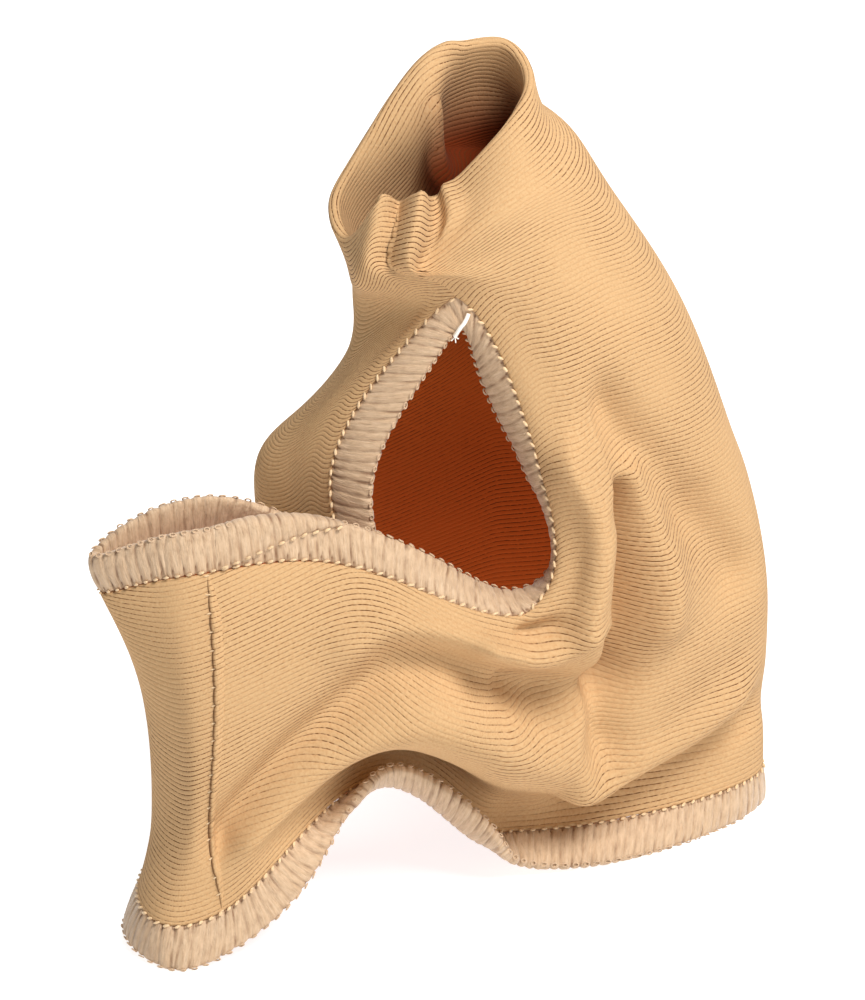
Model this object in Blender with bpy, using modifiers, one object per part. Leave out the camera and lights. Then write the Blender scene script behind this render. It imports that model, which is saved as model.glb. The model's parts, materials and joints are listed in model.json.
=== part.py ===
"""A bunion protector: a thin ribbed sleeve for the forefoot with a tube for the big toe.

It stands on its bottom hem, as cloth with some body does when it is put down. The sleeve is one piece of
knit. Its two raw edges, at the bottom and round the opening for the four smaller toes, are bound by a wide
overlocked edge, and the rim of the toe tube is turned in. All lengths are metres, +Z is up, the open toe
tube is on top, the front of the crumpled band faces -Y and the side of the big toe joint is at +X.
"""

import bmesh
import bpy
import numpy as np
from mathutils import Vector

WIDTH = 0.093  # from the tip of the left pocket to the side of the toe joint
DEPTH = 0.066  # from the front of the band to its back
HEIGHT = 0.118  # from the hem on the table to the rim of the toe tube
CLOTH = 0.0012  # thickness of the knit
TURNED_RIM = 0.0017  # thickness where the knit is turned in at the toe
TURNED_DEPTH = 0.010  # how far down the toe tube the turned layer reaches
TURNED_STEP = 0.003  # over which its thickness comes in
BINDING_WIDTH = 0.006
BINDING_THICKNESS = 0.0020  # along its middle
BINDING_EDGE = 0.0011  # thickness along both of its edges
GAP = 0.0004  # clearance between the knit and its bindings
GIRTH = 0.233  # round the flat band
LENGTH = 0.117  # of the flat cloth, from the bottom stitch line to the toe rim
FOLD_RISE = 0.0040  # how far a full fold would stand out
SETTLE = 0.0004  # how much of the hem is pressed flat where it rests

# A cage of sections is smoothed into the sleeve. A station is a line that runs up the cloth, and the list
# goes round the band from the corner of the toe opening, past the toe joint, behind, and back along the
# front. The last six stations end at the toe opening, so the sections above it run only from the corner to
# the pinch, and the two ends of those meet above the crotch.
STATIONS = (
    "corner", "ridge", "valley", "joint", "back_right", "back", "back_middle", "back_left",
    "pinch", "far_wall", "tip", "front_left", "seam", "front", "arch",
)

# Each section's row gives, for each of its stations, how far it lies across, back and up, in hundredths of
# WIDTH from the middle, of DEPTH from the front and of HEIGHT from the table.
SECTIONS = {
    "hem": (
        (3.5, 39.5, 8), (13.5, 48.5, 4), (30, 55.5, 4), (49, 76, 4.5), (36.5, 93, 5),
        (8.5, 97, 5), (-9, 88.5, 5.5), (-23.5, 76, 6), (-33.5, 54.5, 6), (-40, 36.5, 5.5),
        (-43, 15, 5.5), (-39, 2, 5), (-30.5, 4.5, 6), (-22, 12, 11), (-8, 33.5, 15),
    ),
    "bend": (
        (5.5, 41.5, 12.5), (15, 49, 8), (30.5, 55.5, 8.5), (49, 75, 9.5), (37, 93, 10),
        (9, 97, 10), (-9, 87.5, 10.5), (-23.5, 74, 11), (-31.5, 53, 10.5), (-38.5, 36.5, 10),
        (-41.5, 18, 10), (-38, 4.5, 9), (-31.5, 4.5, 10.5), (-22, 11.5, 15.5), (-7, 35.5, 19),
    ),
    "lower": (
        (7.5, 26, 18), (19, 39.5, 14.5), (32, 51.5, 15), (49, 72, 18), (38, 92.5, 18),
        (9, 97, 18.5), (-9.5, 85, 20.5), (-23.5, 69.5, 21.5), (-28, 48.5, 18.5), (-36.5, 36.5, 17),
        (-41, 21, 15.5), (-36.5, 8.5, 16.5), (-32.5, 5.5, 17), (-20.5, 10, 21.5), (-6.5, 18, 23.5),
    ),
    "upper": (
        (11.5, 25, 29.5), (24, 38, 26.5), (37, 51.5, 28), (49, 68, 31.5), (38, 89.5, 31.5),
        (9, 92.5, 34), (-11, 78, 36), (-24.5, 60.5, 36.5), (-21.5, 42.5, 31.5), (-33.5, 35, 30.5),
        (-42.5, 22.5, 30.5), (-37.5, 9, 31.5), (-31.5, 6, 32), (-16.5, 12, 35.5), (-0.5, 18, 34),
    ),
    "opening": (
        (15.5, 29.5, 38.5), (24, 33.5, 40.5), (35.5, 47, 43.5), (46, 65, 44.5), (37, 85, 46),
        (8.5, 86.5, 48.5), (-11.5, 71, 50), (-25, 53, 50), (-15, 36.5, 42.5), (-31, 32.5, 46),
        (-48, 21, 42), (-41, 13.5, 45), (-32.5, 12, 46.5), (-16.5, 19.5, 46), (-0.5, 22.5, 41.5),
    ),
    "low_side": (
        (17.5, 32, 45), (25.5, 35, 50), (35, 45.5, 52.5), (43, 64, 52), (34, 82, 54),
        (8.5, 82, 57), (-9, 67.5, 57.5), (-22, 51.5, 56.5), (-15, 38, 52.5),
    ),
    "high_side": (
        (12.5, 34, 61.5), (20.5, 35, 66), (29, 43, 69), (36, 62, 68), (27, 77.5, 69.5),
        (6.5, 76, 71), (-5.5, 63.5, 69), (-14, 50, 64.5), (-7, 38, 65.5),
    ),
    "crotch": (
        (3, 35, 75), (11.5, 34, 80.5), (19.5, 42.5, 82.5), (26, 59.5, 81.5), (18.5, 72.5, 83),
        (4.5, 71, 82), (-5.5, 64.5, 76.5), (-12, 52.5, 70.5), (3, 35, 75),
    ),
    "throat": (
        (-3, 33.5, 77.5), (2.5, 32.5, 80.5), (12.5, 38, 86), (21, 60.5, 87.5), (12, 71, 90),
        (1.5, 61, 86), (-6.5, 61.5, 81), (-11.5, 47.5, 77), (-3, 33.5, 77.5),
    ),
    "neck": (
        (-6, 33.5, 82.5), (1, 32.5, 83), (11.5, 44, 89.5), (16.5, 62, 90.5), (10, 71, 94),
        (-1, 59.5, 92.5), (-8, 61, 86), (-14.5, 47, 81), (-6, 33.5, 82.5),
    ),
    "toe_rim": (
        (-4, 41, 86), (0.5, 40, 87.5), (9.5, 48.5, 91.5), (14.5, 63.5, 97.5), (7.5, 68, 99),
        (-1.5, 60.5, 98), (-8.5, 59, 91.5), (-15, 47.5, 84), (-4, 41, 86),
    ),
}

# The way the bottom binding points from the knit, across, back and up. At the arch it rolls outwards.
HEM_LEAN = (
    (0.4, -0.68, 0.6), (0.15, -0.9, -0.4), (0, -0.7, -0.7), (0.05, 0.2, -1),
    (0, 0.15, -1), (0, 0.15, -1), (0, 0.15, -1), (-0.1, 0.2, -1), (-0.15, 0, -1), (-0.2, 0, -1),
    (-0.35, -0.15, -0.95), (0, -0.3, -0.95), (0.05, -0.3, -0.95), (0.75, 0.25, -0.6), (0.1, -0.75, 0.66),
)

# The way the binding of the toe opening points, at each station and section that it passes.
OPENING_LEAN = {
    ("corner", "opening"): (-0.3, 0.9, 0.2),
    ("corner", "low_side"): (0, 1, -0.3),
    ("corner", "high_side"): (-0.6, 0.65, -0.35),
    ("corner", "crotch"): (0.2, 0.2, -0.95),
    ("pinch", "high_side"): (0.97, -0.25, 0),
    ("pinch", "low_side"): (0.9, -0.35, -0.2),
    ("pinch", "opening"): (0.8, -0.5, 0.2),
    ("far_wall", "opening"): (0, 0, 1),
    ("tip", "opening"): (-0.18, 0, 1),
    ("front_left", "opening"): (0, 0.1, 1),
    ("seam", "opening"): (0, 0.25, 1),
    ("front", "opening"): (0, 0.25, 1),
    ("arch", "opening"): (0.15, 0.8, 0.5),
}

# Where each station and section lies on the flat cloth, in hundredths of GIRTH and of LENGTH.
STATION_AT = (0, 4, 10, 17, 23, 35, 43, 51, 58, 65, 72, 76, 80, 86.5, 93, 100)
SECTION_AT = {
    "hem": 0, "bend": 5, "lower": 14, "upper": 27, "opening": 41, "low_side": 49,
    "high_side": 66, "crotch": 82, "throat": 89.5, "neck": 94.5, "toe_rim": 100,
}

# Each fold's row gives its rise as a share of FOLD_RISE, valleys being negative, its spread in hundredths
# of GIRTH, and the way that it takes over the cloth, as stations and sections counted from 0. Stations past
# the last one go on round the band from the corner.
FOLDS = {
    "ridge_beside_opening": (0.75, 1.6, ((15.2, 5.4), (15.8, 4.9), (16.1, 4.3), (16.1, 3.7), (15.9, 3.3))),
    "ridge_below_opening": (0.55, 1.7, ((15.9, 3.3), (15.4, 3.2), (14.3, 3.4), (13.4, 3.1))),
    "crease_below_opening": (-0.6, 0.8, ((14.95, 3.75), (15.75, 3.6))),
    "valley_beside_ridge": (-0.7, 1.7, ((16.5, 4.7), (16.5, 4.1), (16.4, 3.6), (16.3, 3.2))),
    "second_ridge": (0.4, 1.6, ((15.8, 5.5), (16.4, 4.8), (16.8, 4.2), (16.9, 3.7))),
    "valley_across_front": (-0.65, 2.1, ((12.1, 1.5), (13.1, 2.3), (13.8, 2.8), (14.7, 3.0), (15.9, 3.1))),
    "ridge_over_arch": (0.5, 2.2, ((12.6, 1.4), (13.3, 2.1), (14.2, 2.5), (15.0, 2.5), (15.8, 2.1), (16.6, 1.5))),
    "dip_below_ridge": (-0.6, 1.5, ((15.9, 2.7), (16.2, 2.3), (16.5, 1.8))),
    "long_valley": (-0.45, 2.6, ((15.7, 6.4), (16.6, 5.3), (17.1, 4.1), (17.6, 3.5))),
    "ridge_to_joint": (0.35, 2.6, ((16.9, 1.2), (17.4, 2.0), (17.8, 2.2))),
    "left_lobe": (0.4, 0.9, ((7.6, 8.2), (7.6, 9.3))),
    "toe_seam_left": (-0.2, 0.6, ((8.0, 8.0), (8.0, 9.3))),
    "toe_seam_right": (-0.2, 0.6, ((0.0, 8.0), (0.0, 9.3))),
    "right_lobe": (0.35, 0.8, ((0.45, 8.0), (0.45, 9.3))),
    "toe_groove": (-0.35, 0.7, ((0.85, 8.1), (0.85, 9.3))),
}

LEVELS = tuple(SECTIONS)
OPENING = LEVELS.index("opening")
CROTCH = LEVELS.index("crotch")
PINCH = STATIONS.index("pinch")
SMOOTHING = 2  # subdivision levels of the cage
FITTING = 5  # times that the cage is pulled towards its table
SLEEVE, HEM_BINDING, OPENING_BINDING = range(3)  # material numbers of the smoothed surface


def empty_scene():
    for old in list(bpy.data.objects):
        bpy.data.objects.remove(old, do_unlink=True)
    made = bpy.data.collections.new("bunion_protector")
    bpy.context.scene.collection.children.link(made)
    return made


def material(name, colour, roughness):
    made = bpy.data.materials.new(name)
    made.use_nodes = True
    shader = made.node_tree.nodes["Principled BSDF"]
    shader.inputs["Base Color"].default_value = (*colour, 1.0)
    shader.inputs["Roughness"].default_value = roughness
    shader.inputs["Metallic"].default_value = 0.0
    return made


def point(shares):
    across, back, up = (share / 100 for share in shares)
    return Vector((across * WIDTH, (back - 0.5) * DEPTH, up * HEIGHT))


def place(station, level):
    """Where a grid point of the cage belongs. Level 0 is the outer edge of the bottom binding."""
    column = station % len(STATIONS)
    if level == 0:
        return point(SECTIONS["hem"][column]) + Vector(HEM_LEAN[column]).normalized() * BINDING_WIDTH
    return point(SECTIONS[LEVELS[level - 1]][column])


def cage():
    """The cage of the knit and of both bindings, as one open sheet."""
    columns, rows = len(STATIONS), len(LEVELS)
    bm = bmesh.new()
    bmesh.ops.create_grid(bm, x_segments=columns, y_segments=rows, size=1.0)
    station_of = bm.verts.layers.int.new("station")
    level_of = bm.verts.layers.int.new("level")
    unused = []
    for vert in bm.verts:
        station = round((vert.co.x + 1) / 2 * columns)
        level = round((vert.co.y + 1) / 2 * rows)
        vert[station_of], vert[level_of] = station, level
        if level > OPENING + 1 and station > PINCH:
            unused.append(vert)
        else:
            vert.co = place(station, level)
    bmesh.ops.delete(bm, geom=unused, context="VERTS")
    flat = bm.loops.layers.uv.new("flat_cloth")
    for face in bm.faces:
        for loop in face.loops:
            loop[flat].uv = (loop.vert[station_of], loop.vert[level_of] - 1)
    for face in bm.faces:
        face.material_index = HEM_BINDING if min(v[level_of] for v in face.verts) == 0 else SLEEVE
    bmesh.ops.remove_doubles(bm, verts=bm.verts, dist=1e-6)
    edge_of_opening = [
        edge
        for edge in bm.edges
        if edge.is_boundary and all(OPENING < v[level_of] <= CROTCH + 1 for v in edge.verts)
    ]
    grown = bmesh.ops.extrude_edge_only(bm, edges=edge_of_opening)["geom"]
    new_verts = [item for item in grown if isinstance(item, bmesh.types.BMVert)]
    for vert in new_verts:
        key = (STATIONS[vert[station_of] % len(STATIONS)], LEVELS[vert[level_of] - 1])
        vert.co += Vector(OPENING_LEAN[key]).normalized() * BINDING_WIDTH
    for face in {face for vert in new_verts for face in vert.link_faces}:
        face.material_index = OPENING_BINDING
        for loop in face.loops:
            loop[flat].uv = (loop.vert[station_of], loop.vert[level_of] - 1)
    bmesh.ops.recalc_face_normals(bm, faces=bm.faces)
    mesh = bpy.data.meshes.new("cage")
    bm.to_mesh(mesh)
    bm.free()
    return mesh


def coordinates(mesh):
    found = np.empty(len(mesh.vertices) * 3)
    mesh.vertices.foreach_get("co", found)
    return found.reshape(-1, 3)


def smoothed(mesh, collection):
    """The cage after subdivision, pulled so that the smooth surface passes through the table's points."""
    holder = bpy.data.objects.new("cage", mesh)
    collection.objects.link(holder)
    modifier = holder.modifiers.new("smooth", "SUBSURF")
    modifier.levels = modifier.render_levels = SMOOTHING
    modifier.uv_smooth = "NONE"
    wanted = coordinates(mesh)
    for _ in range(FITTING):
        graph = bpy.context.evaluated_depsgraph_get()
        reached = coordinates(holder.evaluated_get(graph).data)[: len(wanted)]
        mesh.vertices.foreach_set("co", (coordinates(mesh) + wanted - reached).ravel())
        mesh.update()
        bpy.context.view_layer.update()
    graph = bpy.context.evaluated_depsgraph_get()
    smooth = bpy.data.meshes.new_from_object(holder.evaluated_get(graph))
    bpy.data.objects.remove(holder, do_unlink=True)
    return smooth


def on_cloth(stations, sections):
    """Stations and sections, in fractions, as metres on the flat cloth."""
    around = np.asarray(STATION_AT) / 100 * GIRTH
    up = np.asarray(tuple(SECTION_AT.values())) / 100 * LENGTH
    turns, rest = np.divmod(stations, len(STATIONS))
    across = np.interp(rest, np.arange(len(around)), around) + turns * GIRTH
    below = np.minimum(sections, 0) * BINDING_WIDTH
    return np.stack([across, np.interp(sections, np.arange(len(up)), up) + below], axis=-1)


def distance_to(way, places):
    """How far each place is from a way of straight stretches, all on the flat cloth."""
    nearest = np.full(len(places), np.inf)
    for start, end in zip(way, way[1:]):
        run = end - start
        along = np.clip((places - start) @ run / (run @ run), 0, 1)
        away = places - start - along[:, None] * run
        nearest = np.minimum(nearest, np.linalg.norm(away, axis=1))
    return nearest


def flat_places(mesh):
    """The station and section of each vertex."""
    stations, sections = np.zeros(len(mesh.vertices)), np.zeros(len(mesh.vertices))
    flat = mesh.uv_layers["flat_cloth"].uv
    for loop in mesh.loops:
        stations[loop.vertex_index], sections[loop.vertex_index] = flat[loop.index].vector
    return stations, sections


def fold(mesh):
    """Raises the folds along the surface's normals."""
    stations, sections = flat_places(mesh)
    rise = np.zeros(len(mesh.vertices))
    for share, spread, way in FOLDS.values():
        way = on_cloth(*np.transpose(way))
        width = spread / 100 * GIRTH
        for turn in (0, len(STATIONS)):
            away = distance_to(way, on_cloth(stations + turn, sections))
            rise += share * FOLD_RISE * np.exp(-((away / width) ** 2))
    for vert, height in zip(mesh.vertices, rise):
        vert.co += vert.normal * height
    mesh.update()


def turned_in(surface):
    """1 along the top of the toe tube, where the knit is turned in, and 0 on the rest of the sleeve."""
    up = on_cloth(*flat_places(surface))[:, 1]
    return np.clip((up - LENGTH + TURNED_DEPTH) / TURNED_STEP, 0, 1)


def wall(part, at_edge, turned):
    """How far a wall reaches out and in from the smoothed surface, which is the knit's outer face."""
    if part == SLEEVE:
        return 0.0, CLOTH + (TURNED_RIM - CLOTH) * turned
    half = (BINDING_EDGE if at_edge else BINDING_THICKNESS) / 2
    return half - CLOTH / 2, half + CLOTH / 2


def solid(surface, name, part, look, collection):
    """The faces of one material with their wall. A binding is drawn back from the knit by GAP."""
    turned = turned_in(surface)
    bm = bmesh.new()
    bm.from_mesh(surface)
    source = bm.verts.layers.int.new("source")
    for vert in bm.verts:
        vert[source] = vert.index
    normals = [vert.normal.copy() for vert in bm.verts]
    parts_met = [{face.material_index for face in vert.link_faces} for vert in bm.verts]
    at_edge = [vert.is_boundary or len(met) > 1 for vert, met in zip(bm.verts, parts_met)]
    against_knit = [part != SLEEVE and len(met) > 1 for met in parts_met]
    others = [face for face in bm.faces if face.material_index != part]
    bmesh.ops.delete(bm, geom=others, context="FACES")
    steps = {}
    for vert in bm.verts:
        if against_knit[vert[source]]:
            beyond = [edge.other_vert(vert) for edge in vert.link_edges]
            beyond = [other for other in beyond if not against_knit[other[source]]]
            steps[vert] = (beyond[0].co - vert.co).normalized() * GAP
    for vert, step in steps.items():
        vert.co += step
    outer_verts = list(bm.verts)
    grown = bmesh.ops.extrude_face_region(bm, geom=bm.faces[:], use_keep_orig=True)["geom"]
    inner_verts = [item for item in grown if isinstance(item, bmesh.types.BMVert)]
    for verts, side in ((outer_verts, 0), (inner_verts, 1)):
        for vert in verts:
            which = vert[source]
            reach = wall(part, at_edge[which], turned[which])[side]
            vert.co += normals[which] * (-reach if side else reach)
    bmesh.ops.recalc_face_normals(bm, faces=bm.faces)
    for face in bm.faces:
        face.material_index = 0
        face.smooth = True
    mesh = bpy.data.meshes.new(name)
    bm.to_mesh(mesh)
    bm.free()
    mesh.materials.append(look)
    made = bpy.data.objects.new(name, mesh)
    collection.objects.link(made)
    return made


def settle(parts):
    """Centres the part over its origin and presses the hem flat where it rests."""
    everything = np.concatenate([coordinates(made.data) for made in parts])
    low, high = everything.min(axis=0), everything.max(axis=0)
    shift = -(low + high) / 2
    shift[2] = -low[2] - SETTLE
    for made in parts:
        moved = coordinates(made.data) + shift
        moved[:, 2] = np.maximum(moved[:, 2], 0)
        made.data.vertices.foreach_set("co", moved.ravel())
        made.data.update()


def main():
    collection = empty_scene()
    surface = smoothed(cage(), collection)
    fold(surface)
    knit = material("beige_knit", (0.76, 0.50, 0.27), 0.8)
    thread = material("overlock_thread", (0.80, 0.60, 0.42), 0.85)
    settle([
        solid(surface, "knit_sleeve", SLEEVE, knit, collection),
        solid(surface, "foot_opening_binding", HEM_BINDING, thread, collection),
        solid(surface, "toe_opening_binding", OPENING_BINDING, thread, collection),
    ])


main()
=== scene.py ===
# %% [markdown]
# A bunion protector, finished in Blender
#
# The object is a thin elastic sleeve for the forefoot. A wide band goes round the foot, a tube goes round the
# big toe, and the other four toes come out of an opening beside the tube. Two raw edges are wrapped in a wide
# overlocked edge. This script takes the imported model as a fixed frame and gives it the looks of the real
# thing: the folds, the fine ribs, the wound thread and the stitches.

# %% Load the frame
import json
import math
import bmesh
import bpy
import numpy as np
from mathutils import Matrix, Vector
from mathutils.bvhtree import BVHTree

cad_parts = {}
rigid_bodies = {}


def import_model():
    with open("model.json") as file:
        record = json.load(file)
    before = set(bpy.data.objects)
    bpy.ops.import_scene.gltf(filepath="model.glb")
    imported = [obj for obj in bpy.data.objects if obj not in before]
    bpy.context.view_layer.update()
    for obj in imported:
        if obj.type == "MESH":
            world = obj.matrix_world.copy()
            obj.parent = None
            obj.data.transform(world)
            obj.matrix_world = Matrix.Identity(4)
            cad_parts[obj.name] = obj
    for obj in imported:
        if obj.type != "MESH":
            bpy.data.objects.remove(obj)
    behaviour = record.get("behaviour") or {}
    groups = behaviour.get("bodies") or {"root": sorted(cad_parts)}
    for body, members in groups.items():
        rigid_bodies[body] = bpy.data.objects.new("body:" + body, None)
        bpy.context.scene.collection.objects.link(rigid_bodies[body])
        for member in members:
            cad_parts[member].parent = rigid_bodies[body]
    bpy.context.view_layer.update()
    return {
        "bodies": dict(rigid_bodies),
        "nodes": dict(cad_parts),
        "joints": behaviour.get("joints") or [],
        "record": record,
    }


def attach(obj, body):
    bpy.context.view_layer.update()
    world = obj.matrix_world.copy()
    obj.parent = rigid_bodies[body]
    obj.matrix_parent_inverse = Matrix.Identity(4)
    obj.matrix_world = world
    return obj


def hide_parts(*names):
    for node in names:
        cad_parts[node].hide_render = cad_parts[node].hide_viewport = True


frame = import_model()
print("nodes:", sorted(frame["nodes"]))

# %% [markdown]
# ## The sizes
#
# The sleeve stands crumpled on its hem. Its outer sizes are those of the crumpled form, and its girth and
# length are those of the cloth laid flat. Most other sizes are what can be measured on such an edge: the
# overlock is 6 mm wide, and its stitches are 1.6 mm apart.

# %% Name the sizes
WIDTH = 0.093  # from the tip of the left pocket to the side of the toe joint
DEPTH = 0.066  # from the front of the band to its back
HEIGHT = 0.118  # from the hem on the table to the rim of the toe tube
GIRTH = 0.233  # round the flat band
LENGTH = 0.117  # of the flat cloth, from the bottom stitch line to the toe rim
CLOTH = 0.0011  # thickness of the knit
BINDING_WIDTH = 0.006
BINDING_THICKNESS = 0.0020  # along its middle
TURN = 0.0008  # radius of the turned toe rim
FOLD_RISE = 0.0040  # how far a full fold would stand out
SETTLE = 0.0004  # how much of the hem is pressed flat where it rests
STITCH = 0.0016  # from one overlock stitch to the next
RIB = 0.00074  # from one rib of the knit to the next
print("cloth:", round(GIRTH * 1000), "mm round and", round(LENGTH * 1000), "mm long,", round(LENGTH / RIB), "ribs")

# %% [markdown]
# ## The cage
#
# A crumpled sleeve could be simulated, but a simulation would not crumple in the way of the real one. It could
# be sculpted by hand, but then it could not be made again from numbers. Here it is a cage: a coarse net
# of named lines round and up the cloth, which a subdivision surface turns into smooth cloth.
#
# A station is a line that runs up the cloth. A section is a line that runs round it. Each row gives, for each
# station in turn, how far it lies across, back and up, in hundredths of the width from the middle, of the
# depth from the front and of the height from the table. The sections above the toe opening have only the
# first stations, because the rest of the band ends at that opening.

# %% Table of sections
STATIONS = (
    "corner", "right_lobe", "ridge", "valley", "joint", "back_right", "flap_side", "back", "back_middle",
    "back_left", "rim_dip", "left_lobe", "pinch", "far_wall", "tip", "front_left", "seam", "front", "arch",
)
SECTIONS = {
    "hem": (
        (3.5, 39.5, 8), (8.5, 44, 5), (13.5, 48.5, 4), (30, 55.5, 4), (49, 76, 4.5),
        (36.5, 93, 5), (22.5, 97, 5), (8.5, 97, 5), (-9, 88.5, 5.5), (-23.5, 76, 6),
        (-29, 65.5, 6), (-31, 60.5, 6), (-33.5, 54.5, 6), (-40, 36.5, 5.5), (-43, 15, 5.5),
        (-39, 2, 5), (-30.5, 4.5, 6), (-22, 12, 11), (-8, 33.5, 15),
    ),
    "bend": (
        (5.5, 41.5, 12.5), (10, 45, 9.5), (15, 49, 8), (30.5, 55.5, 8.5), (49, 75, 9.5),
        (37, 93, 10), (23, 97, 10), (9, 97, 10), (-9, 87.5, 10.5), (-23.5, 74, 11),
        (-28, 63.5, 11), (-29.5, 58.5, 11), (-31.5, 53, 10.5), (-38.5, 36.5, 10), (-41.5, 18, 10),
        (-38, 4.5, 9), (-31.5, 4.5, 10.5), (-22, 11.5, 15.5), (-7, 35.5, 19),
    ),
    "lower": (
        (7.5, 26, 18), (13.5, 32.5, 15.5), (19, 39.5, 14.5), (32, 51.5, 15), (49, 72, 18),
        (38, 92.5, 18), (23.5, 97, 18), (9, 97, 18.5), (-9.5, 85, 20.5), (-23.5, 69.5, 21.5),
        (-26, 58.5, 20), (-26.5, 53.5, 19), (-28, 48.5, 18.5), (-36.5, 36.5, 17), (-41, 21, 15.5),
        (-36.5, 8.5, 16.5), (-32.5, 5.5, 17), (-20.5, 10, 21.5), (-6.5, 18, 23.5),
    ),
    "upper": (
        (11.5, 25, 29.5), (17.5, 31, 27.5), (24, 38, 26.5), (37, 51.5, 28), (49, 68, 31.5),
        (38, 89.5, 31.5), (24, 94, 32.5), (9, 92.5, 34), (-11, 78, 36), (-24.5, 60.5, 36.5),
        (-23, 50.5, 34), (-21, 46.5, 32.5), (-21.5, 42.5, 31.5), (-33.5, 35, 30.5), (-42.5, 22.5, 30.5),
        (-37.5, 9, 31.5), (-31.5, 6, 32), (-16.5, 12, 35.5), (-0.5, 18, 34),
    ),
    "opening": (
        (13.2, 27.8, 37.2), (20, 30.5, 39), (24, 33.5, 40.5), (35.5, 47, 43.5), (46, 65, 44.5),
        (37, 85, 46), (23.5, 88.5, 47), (8.5, 86.5, 48.5), (-11.5, 71, 50), (-26, 53, 50),
        (-21, 44, 46), (-17.5, 40.5, 43.5), (-15, 36.5, 42.5), (-31, 32.5, 46), (-48, 21, 42),
        (-41, 13.5, 45), (-32.5, 12, 46.5), (-16.5, 19.5, 46), (-0.5, 22, 41.2),
    ),
    "low_side": (
        (17.5, 32, 45), (21, 32, 47.5), (25.5, 35, 50), (35, 45.5, 52.5), (43, 64, 52),
        (34, 82, 54), (21.5, 84.5, 55.5), (8.5, 82, 57), (-9, 67.5, 57.5), (-20, 51.5, 56.5),
        (-20, 44, 54.5), (-17.5, 41, 53.5), (-15, 38, 52.5),
    ),
    "high_side": (
        (12.5, 34, 61.5), (16, 33.5, 63.5), (20.5, 35, 66), (29, 43, 69), (36, 62, 68),
        (27, 77.5, 69.5), (16.5, 79, 70.5), (6.5, 76, 71), (-5.5, 63.5, 69), (-12.4, 50, 64.5),
        (-11.5, 43, 64.5), (-9.5, 40.5, 65), (-7, 38, 65.5),
    ),
    "crotch": (
        (3, 35, 75), (8, 33.5, 76.5), (12, 34.5, 79), (19.5, 42.5, 82.5), (26, 59.5, 81.5),
        (18.5, 72.5, 83), (11.5, 73, 83), (2.5, 59, 81), (-3, 62, 76), (-12, 52.5, 70.5),
        (-6.5, 43.5, 72), (-2, 39, 73), (3, 35, 75),
    ),
    "throat": (
        (-5.5, 31, 79), (-2.3, 27.5, 79.5), (0.5, 33, 79.5), (12.5, 38, 86), (21, 60.5, 87.5),
        (12, 71, 90), (1, 68, 85), (0.5, 56, 89), (-5.5, 59, 81), (-11.5, 52, 74),
        (-10.3, 35.5, 75.5), (-8, 29.5, 79), (-5.5, 31, 79),
    ),
    "neck": (
        (-6, 31.5, 83), (-2.8, 27.5, 84), (0.3, 35.5, 82.5), (11.5, 44, 89.5), (16.5, 62, 90.5),
        (9.5, 71, 93), (1.5, 68, 92.5), (-1, 57, 94), (-8.5, 55, 85), (-12.5, 50, 77.5),
        (-11.8, 33.5, 79), (-9.3, 29.5, 82.5), (-6, 31.5, 83),
    ),
    "toe_rim": (
        (-5, 37.5, 85.8), (-1.7, 33.5, 88), (0.5, 42, 85.5), (9.5, 48.5, 91.5), (14.5, 60, 95),
        (10.5, 68, 98.5), (3.5, 66.5, 98.5), (-1.5, 61, 97.5), (-11.5, 52, 88), (-15.1, 45.5, 83),
        (-12.6, 37, 81.2), (-8.3, 33, 86.7), (-5, 37.5, 85.8),
    ),
}
LEVELS = tuple(SECTIONS)
OPENING = LEVELS.index("opening")
CROTCH = LEVELS.index("crotch")
PINCH = STATIONS.index("pinch")
print(len(STATIONS), "stations,", len(SECTIONS), "sections")

# %% [markdown]
# The two bindings go on from the cloth's edges. The first table gives the way in which the bottom binding
# points from the cloth at each station: mostly down, but outwards and up at the arch, where the edge rolls.
# The second one goes once round the toe opening: up its right side, down its left side, and along the front.

# %% Tables of the creases and the bindings
CREASES = {  # the station, its first and last section, and how sharp the cloth is bent there, 0 to 1
    "toe_flap": ("back", "crotch", "neck", 0.6),
    "toe_edge": ("ridge", "throat", "toe_rim", 0.3),
    "toe_seam": ("corner", "throat", "toe_rim", 0.7),
}
HEM_LEAN = (
    (0.4, -0.68, 0.6), (0.28, -0.79, 0.1), (0.15, -0.9, -0.4), (0, -0.7, -0.7), (0.05, 0.2, -1),
    (0, 0.15, -1), (0, 0.15, -1), (0, 0.15, -1), (0, 0.15, -1), (-0.1, 0.2, -1),
    (-0.12, 0.1, -1), (-0.14, 0.05, -1), (-0.15, 0, -1), (-0.2, 0, -1), (-0.35, -0.15, -0.95),
    (0, -0.3, -0.95), (0.05, -0.3, -0.95), (0.75, 0.25, -0.6), (0.1, -0.75, 0.66),
)
OPENING_LEAN = {
    ("corner", "opening"): (-0.3, 0.9, 0.2),
    ("corner", "low_side"): (0, 1, -0.3),
    ("corner", "high_side"): (-0.6, 0.65, -0.35),
    ("pinch", "crotch"): (0.2, 0.2, -0.95),
    ("pinch", "high_side"): (0.97, -0.25, 0),
    ("pinch", "low_side"): (0.9, -0.35, -0.2),
    ("pinch", "opening"): (0.8, -0.5, 0.2),
    ("far_wall", "opening"): (0, 0, 1),
    ("tip", "opening"): (-0.18, 0, 1),
    ("front_left", "opening"): (0, 0.1, 1),
    ("seam", "opening"): (0, 0.25, 1),
    ("front", "opening"): (0, 0.25, 1),
    ("arch", "opening"): (0.15, 0.8, 0.5),
}
POSTS = tuple(OPENING_LEAN)
print(len(POSTS), "posts round the toe opening")

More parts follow.
